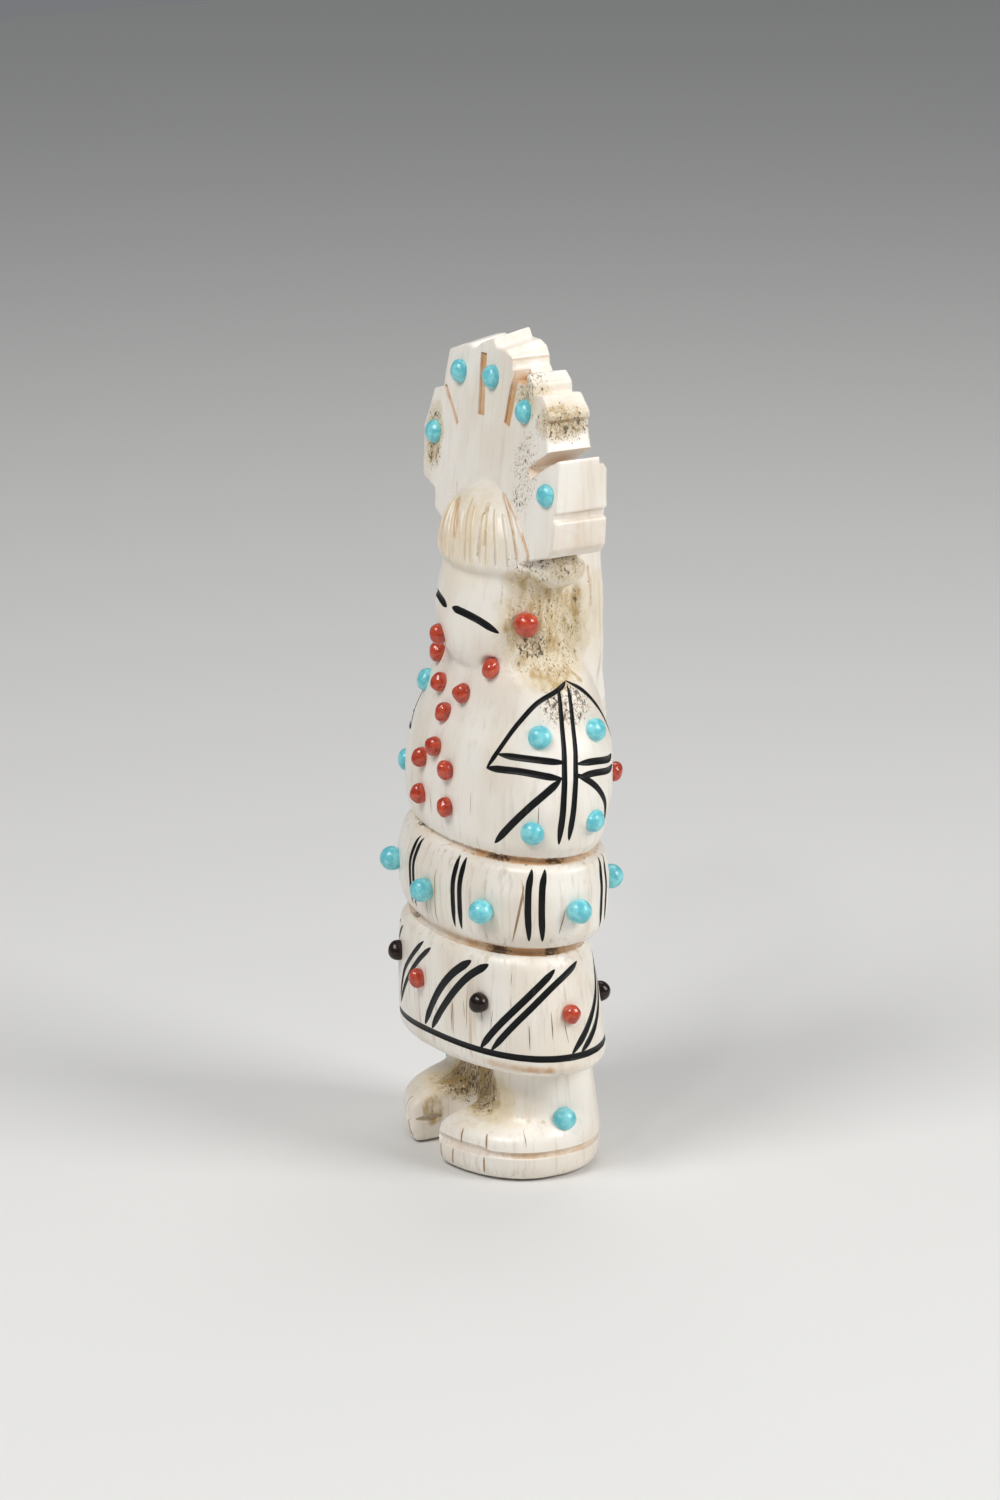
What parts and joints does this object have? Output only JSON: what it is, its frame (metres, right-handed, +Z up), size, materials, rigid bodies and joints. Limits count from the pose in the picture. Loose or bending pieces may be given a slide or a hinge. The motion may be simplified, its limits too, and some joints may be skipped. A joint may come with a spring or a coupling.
{
  "type": "carved antler maiden figure",
  "caption": "Small standing maiden carved from antler, with a stepped ray headdress and beads of turquoise, coral and jet set into drilled seats.",
  "frame": {"origin": "middle of the sole's underside, on the surface the figure stands on", "axes": "+Z up, the figure faces -Y, her left hand side is +X"},
  "size_m": [0.0388, 0.0256, 0.1012],
  "materials": {
    "antler": "satin polished antler, cream with ochre in the porous places",
    "turquoise": "satin polish",
    "coral": "high polish",
    "jet": "high polish",
    "ink": "black ink rubbed into engraved lines"
  },
  "bodies": {
    "root": {"carving": "antler", "ankle_bead_left": "turquoise", "ankle_bead_right": "turquoise", "back_bead_1": "coral", "back_bead_2": "coral", "back_bead_3": "coral", "belt_bead_1": "turquoise", "belt_bead_2": "turquoise", "belt_bead_3": "turquoise", "belt_bead_4": "turquoise", "belt_bead_5": "turquoise", "belt_bead_6": "turquoise", "belt_bead_7": "turquoise", "belt_bead_8": "turquoise", "cape_bead_left_1": "turquoise", "cape_bead_left_2": "turquoise", "cape_bead_left_3": "turquoise", "cape_bead_left_4": "turquoise", "cape_bead_right_1": "turquoise", "cape_bead_right_2": "turquoise", "cape_bead_right_3": "turquoise", "cape_bead_right_4": "turquoise", "chest_bead_1": "coral", "chest_bead_2": "coral", "chest_bead_3": "coral", "chest_bead_4": "coral", "chest_bead_5": "coral", "ear_bead_left": "coral", "ear_bead_right": "coral", "headdress_bead_1": "turquoise", "headdress_bead_2": "turquoise", "headdress_bead_3": "turquoise", "headdress_bead_4": "turquoise", "headdress_bead_5": "turquoise", "mouth_bead": "coral", "necklace_bead_1": "coral", "necklace_bead_2": "coral", "necklace_bead_3": "coral", "necklace_bead_4": "coral", "necklace_bead_5": "coral", "skirt_bead_1": "coral", "skirt_bead_2": "jet", "skirt_bead_3": "coral", "skirt_bead_4": "jet", "skirt_bead_5": "coral", "skirt_bead_6": "jet", "skirt_bead_7": "coral", "skirt_bead_8": "jet"}
  },
  "joints": []
}
